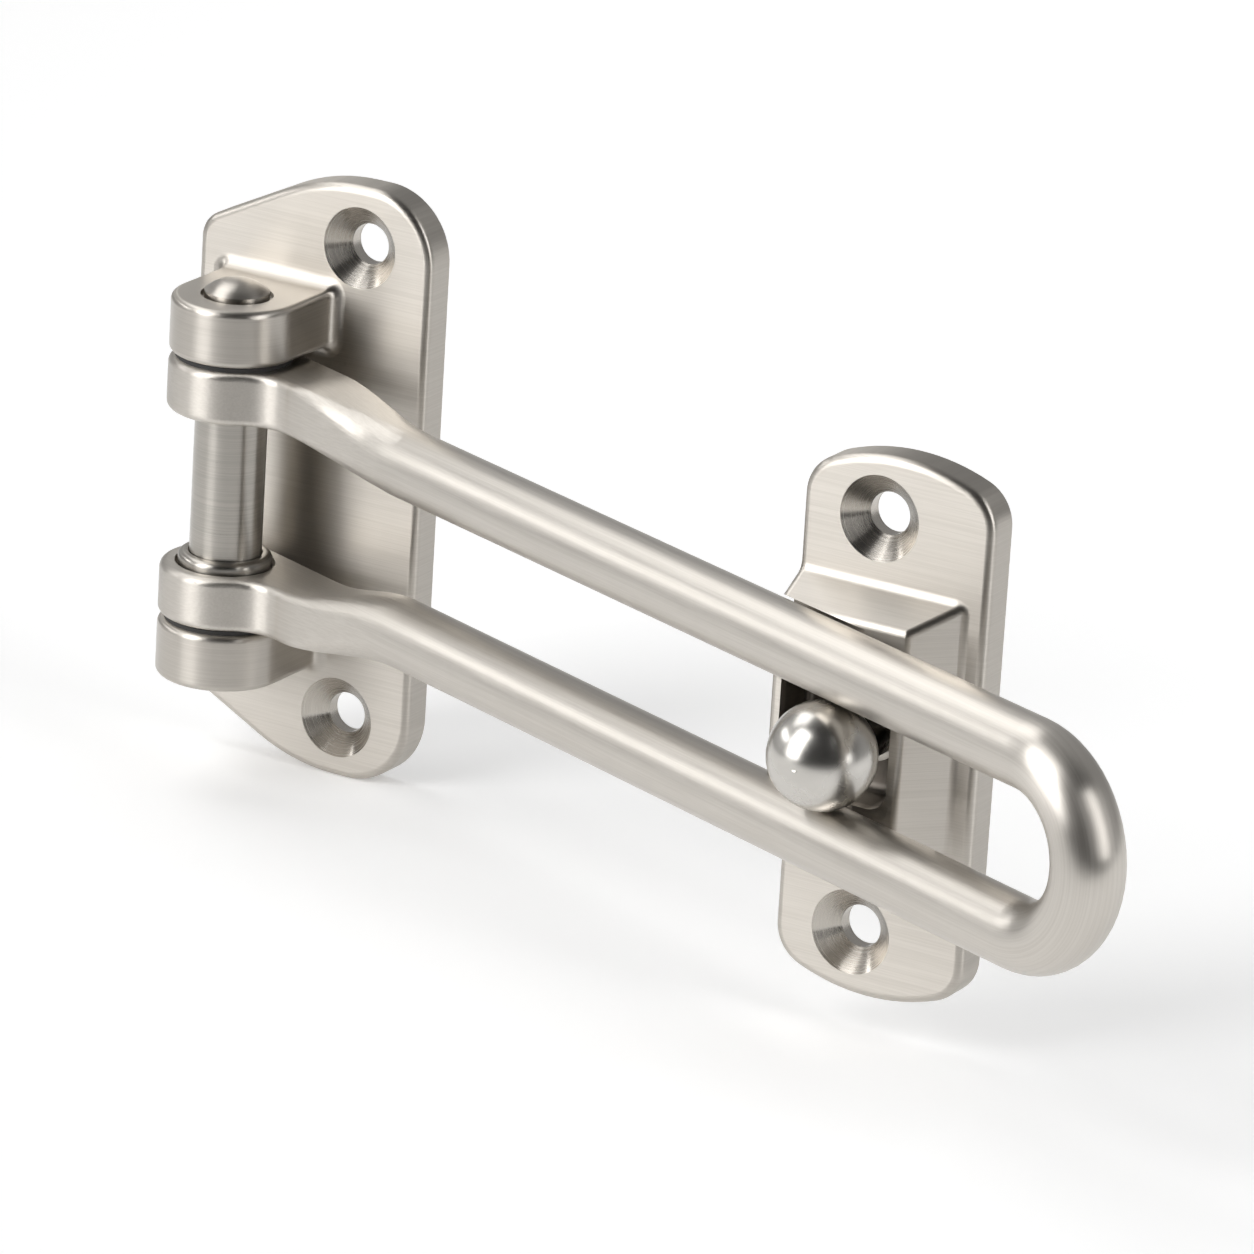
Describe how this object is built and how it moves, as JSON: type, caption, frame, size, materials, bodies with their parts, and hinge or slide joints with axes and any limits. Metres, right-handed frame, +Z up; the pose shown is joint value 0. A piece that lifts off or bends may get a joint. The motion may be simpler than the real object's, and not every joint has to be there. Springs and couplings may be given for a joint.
{
  "type": "door guard",
  "caption": "Swing bar door guard: hinged U-shaped loop on a plate with pivot lugs, and a catch plate whose ball stud rides in the loop's slot.",
  "frame": {"origin": "back face of the hinge plate, midway between its two screw holes", "axes": "+X along the plates from the hinge towards the catch, +Y into the wall, +Z up along the hinge pin"},
  "size_m": [0.1593, 0.0678, 0.074],
  "materials": {
    "satin_nickel": "brushed satin nickel",
    "polished_ball": "polished",
    "washer": "plain nylon"
  },
  "bodies": {
    "hinge_half": {"hinge_plate": "satin_nickel", "hinge_pin": "satin_nickel", "lower_thrust_washer": "washer"},
    "bar": {"swing_bar": "satin_nickel", "lower_bush": "satin_nickel", "pivot_sleeve": "satin_nickel", "upper_thrust_washer": "washer"},
    "catch_half": {"catch_plate": "satin_nickel", "ball_stud": "polished_ball"}
  },
  "joints": [
    {"name": "bar_swing", "type": "hinge", "parent": "hinge_half", "child": "bar", "pos_m": [-0.011, -0.0134, 0], "axis": [0, 0, -1], "range_deg": [-21, 159]},
    {"name": "catch_travel", "type": "slide", "parent": "bar", "child": "catch_half", "axis": [0.9336, -0.3584, 0], "range_m": [-0.065, 0.032]}
  ]
}
